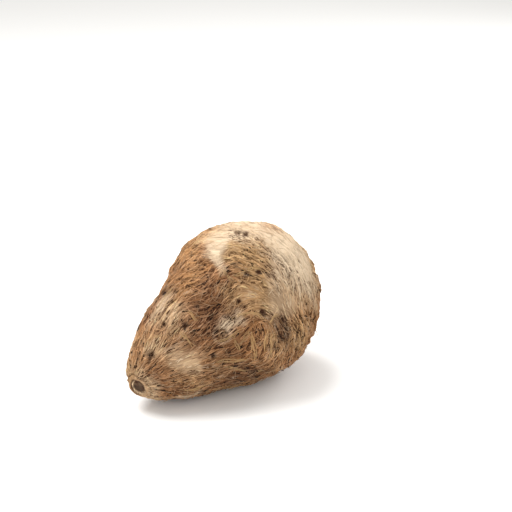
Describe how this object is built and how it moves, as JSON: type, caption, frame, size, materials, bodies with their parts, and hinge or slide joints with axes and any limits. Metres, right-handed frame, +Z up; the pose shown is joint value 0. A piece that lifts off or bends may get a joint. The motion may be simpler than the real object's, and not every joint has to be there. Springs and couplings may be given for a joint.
{
  "type": "taro root",
  "caption": "Pear-shaped taro root with a worn fibrous husk, faint leaf rings, root pits and a scar at its narrow end, lying on its side on a small flat spot",
  "frame": {"origin": "middle of the bounding box in X and Y, on the surface that the root lies on", "axes": "+X runs along the root from the scar at its narrow end to its round end, +Z is up, and +Y completes the right-handed frame"},
  "size_m": [0.0942, 0.066, 0.0686],
  "materials": {
    "husk": "dry, fibrous brown husk, worn through to a pale cream and grey-beige skin in patches, matt all over"
  },
  "bodies": {
    "root": {"corm": "husk"}
  },
  "joints": []
}
